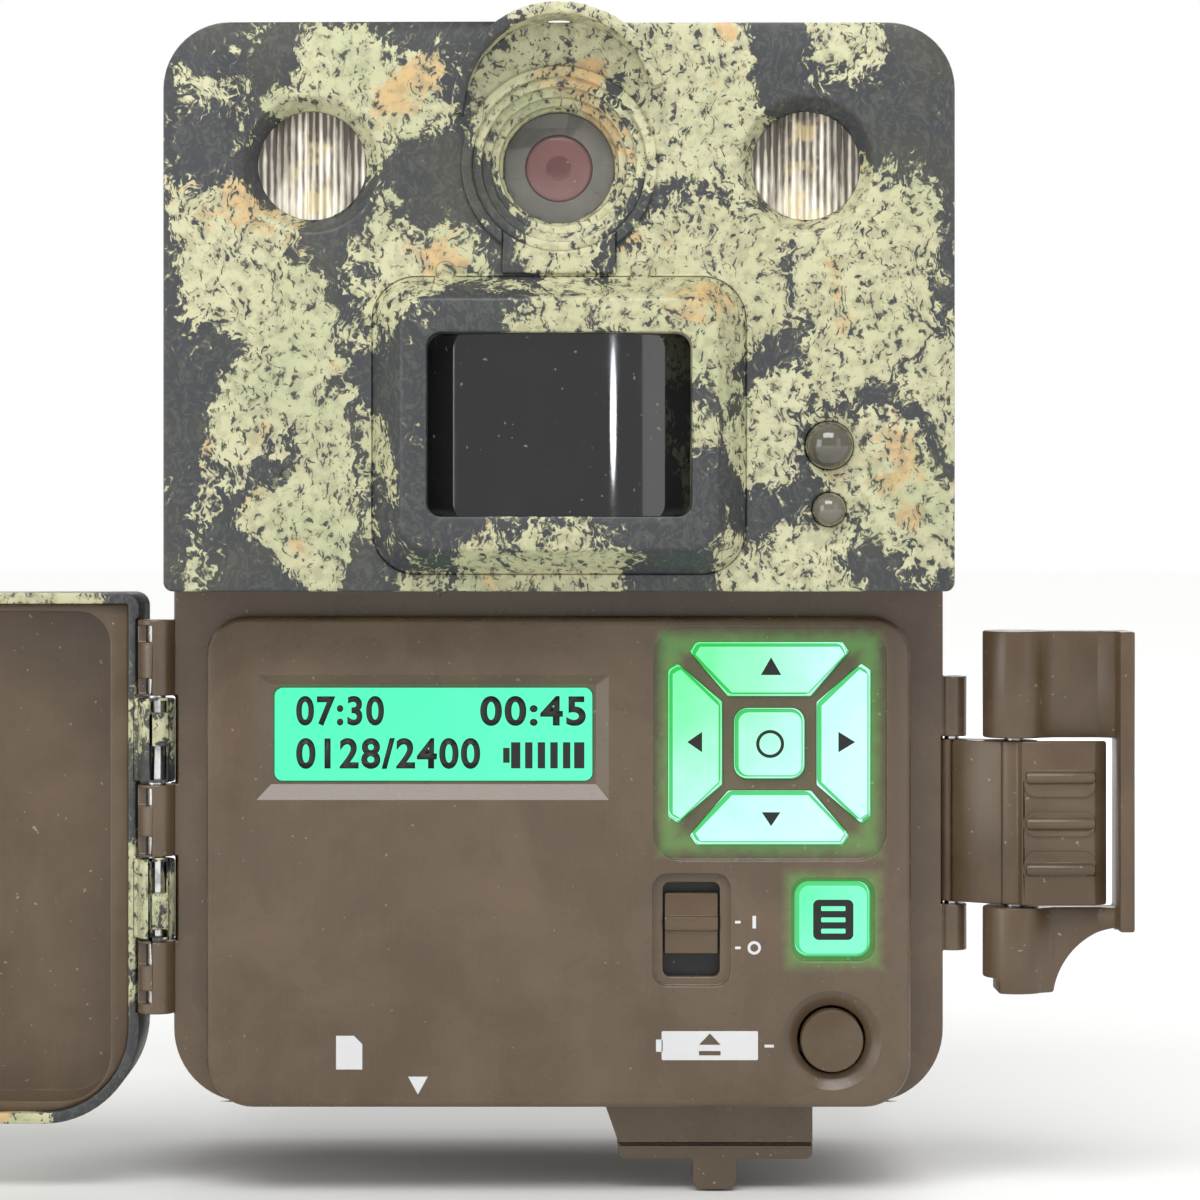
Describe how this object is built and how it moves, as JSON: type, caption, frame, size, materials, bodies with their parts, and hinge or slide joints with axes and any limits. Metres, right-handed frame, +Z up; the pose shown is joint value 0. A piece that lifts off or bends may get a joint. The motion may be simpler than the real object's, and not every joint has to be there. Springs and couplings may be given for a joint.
{
  "type": "trail camera",
  "caption": "Small camouflaged game camera: hooded lens, flash windows, motion sensor, display and keys behind a hinged door with a draw latch.",
  "frame": {"origin": "mouth of the tripod socket, on its axis, in the plane of the case's back face", "axes": "+Z up, +Y out of the back along the tripod socket, +X to the right seen from the front; the lens looks along -Y"},
  "size_m": [0.1895, 0.064, 0.126],
  "materials": {
    "camo_plastic": "bark pattern dipped over moulded plastic, satin",
    "brown_plastic": "satin moulded plastic",
    "rear_plastic": "fine textured moulded plastic",
    "black_rubber": "matt",
    "cover_rubber": "soft satin rubber",
    "steel": "bright drawn steel",
    "brass": "turned brass",
    "clear_glass": "clear",
    "lens_glass": "grey tinted",
    "red_glass": "coated lens glass, red reflection",
    "dark_plastic": "matt black plastic",
    "grey_mask": "printed dark grey ring",
    "black_window": "polished black infrared window",
    "reflector": "bright metallised",
    "led": "warm emitter",
    "smoked_dome": "smoked, glossy",
    "clear_dome": "clear dome",
    "circuit_board": "solder mask",
    "chip": "epoxy",
    "nickel": "nickel-plated",
    "display": "backlit display",
    "key_cap": "backlit translucent cap",
    "silicone": "translucent silicone",
    "flex": "polyimide film",
    "acetal": "natural acetal",
    "cell_wrap": "plain printed sleeve",
    "card_plastic": "plain card"
  },
  "bodies": {
    "root": {"front_housing": "camo_plastic", "control_panel": "brown_plastic", "rear_housing": "rear_plastic", "housing_gasket": "black_rubber", "case_screws": "steel", "tripod_insert": "brass", "lens_window": "lens_glass", "lens_mask_ring": "grey_mask", "lens_barrel": "dark_plastic", "lens_elements": "red_glass", "lens_holder": "dark_plastic", "image_sensor": "chip", "sensor_board": "circuit_board", "flash_window_left": "clear_glass", "flash_window_right": "clear_glass", "flash_reflector_left": "reflector", "flash_reflector_right": "reflector", "flash_led_left": "led", "flash_led_right": "led", "pir_window": "black_window", "pir_sensor": "nickel", "status_dome": "smoked_dome", "light_sensor_dome": "clear_dome", "microphone": "nickel", "main_board": "circuit_board", "board_chips": "chip", "board_screws": "steel", "lcd_module": "dark_plastic", "lcd_window": "display", "sd_socket": "nickel", "dc_jack": "dark_plastic", "ribbon_cable": "flex", "keypad_membrane": "silicone", "power_switch_body": "dark_plastic", "eject_spring": "steel", "door_hinge_pin": "steel", "latch_pin": "steel"},
    "door": {"door_shell": "camo_plastic", "door_liner": "brown_plastic"},
    "lever": {"latch_lever": "brown_plastic", "hook_pin": "steel"},
    "hook": {"latch_hook": "brown_plastic"},
    "up_key": {"key_up": "key_cap"},
    "down_key": {"key_down": "key_cap"},
    "left_key": {"key_left": "key_cap"},
    "right_key": {"key_right": "key_cap"},
    "ok_key": {"key_ok": "key_cap"},
    "mode_key": {"key_mode": "key_cap"},
    "switch_knob": {"power_switch_knob": "brown_plastic"},
    "eject": {"eject_button": "brown_plastic"},
    "catch": {"battery_catch": "acetal"},
    "tray": {"battery_tray": "brown_plastic", "battery_cells": "cell_wrap", "battery_contacts": "nickel"},
    "card": {"sd_card": "card_plastic"},
    "cover": {"jack_cover": "cover_rubber"}
  },
  "joints": [
    {"name": "door_hinge", "type": "hinge", "parent": "root", "child": "door", "pos_m": [-0.0434, -0.046, -0.053], "axis": [0, 0, 1], "range_deg": [0, 180]},
    {"name": "latch_lever", "type": "hinge", "parent": "root", "child": "lever", "pos_m": [0.0426, -0.0446, -0.04955], "axis": [0, 0, 1], "range_deg": [0, 88]},
    {"name": "latch_hook", "type": "hinge", "parent": "lever", "child": "hook", "pos_m": [0.049, -0.0476, -0.04955], "axis": [0, 0, 1], "range_deg": [-176, 0]},
    {"name": "key_up", "type": "slide", "parent": "root", "child": "up_key", "axis": [0, 1, 0], "range_m": [0, 0.0006], "stiffness_N_per_m": 900, "springref_m": -0.0005},
    {"name": "key_down", "type": "slide", "parent": "root", "child": "down_key", "axis": [0, 1, 0], "range_m": [0, 0.0006], "stiffness_N_per_m": 900, "springref_m": -0.0005},
    {"name": "key_left", "type": "slide", "parent": "root", "child": "left_key", "axis": [0, 1, 0], "range_m": [0, 0.0006], "stiffness_N_per_m": 900, "springref_m": -0.0005},
    {"name": "key_right", "type": "slide", "parent": "root", "child": "right_key", "axis": [0, 1, 0], "range_m": [0, 0.0006], "stiffness_N_per_m": 900, "springref_m": -0.0005},
    {"name": "key_ok", "type": "slide", "parent": "root", "child": "ok_key", "axis": [0, 1, 0], "range_m": [0, 0.0006], "stiffness_N_per_m": 900, "springref_m": -0.0005},
    {"name": "key_mode", "type": "slide", "parent": "root", "child": "mode_key", "axis": [0, 1, 0], "range_m": [0, 0.0006], "stiffness_N_per_m": 900, "springref_m": -0.0005},
    {"name": "power_switch", "type": "slide", "parent": "root", "child": "switch_knob", "axis": [0, 0, -1], "range_m": [0, 0.002]},
    {"name": "eject_button", "type": "slide", "parent": "root", "child": "eject", "axis": [0, 1, 0], "range_m": [0, 0.002], "stiffness_N_per_m": 600, "springref_m": -0.001, "deforming": ["eject_spring"]},
    {"name": "battery_catch", "type": "slide", "parent": "root", "child": "catch", "axis": [1, 0, 0], "range_m": [0, 0.002]},
    {"name": "battery_tray", "type": "slide", "parent": "root", "child": "tray", "axis": [0, 0, 1], "range_m": [-0.065, 0]},
    {"name": "sd_card", "type": "slide", "parent": "root", "child": "card", "axis": [0, 0, 1], "range_m": [-0.026, 0]},
    {"name": "jack_cover", "type": "hinge", "parent": "root", "child": "cover", "pos_m": [0.0162, -0.0359, -0.08545], "axis": [1, 0, 0], "range_deg": [0, 85]}
  ],
  "couplings": [
    {"joint": "latch_hook", "follows": "latch_lever", "ratio": -2},
    {"joint": "battery_catch", "follows": "eject_button", "ratio": 1}
  ]
}
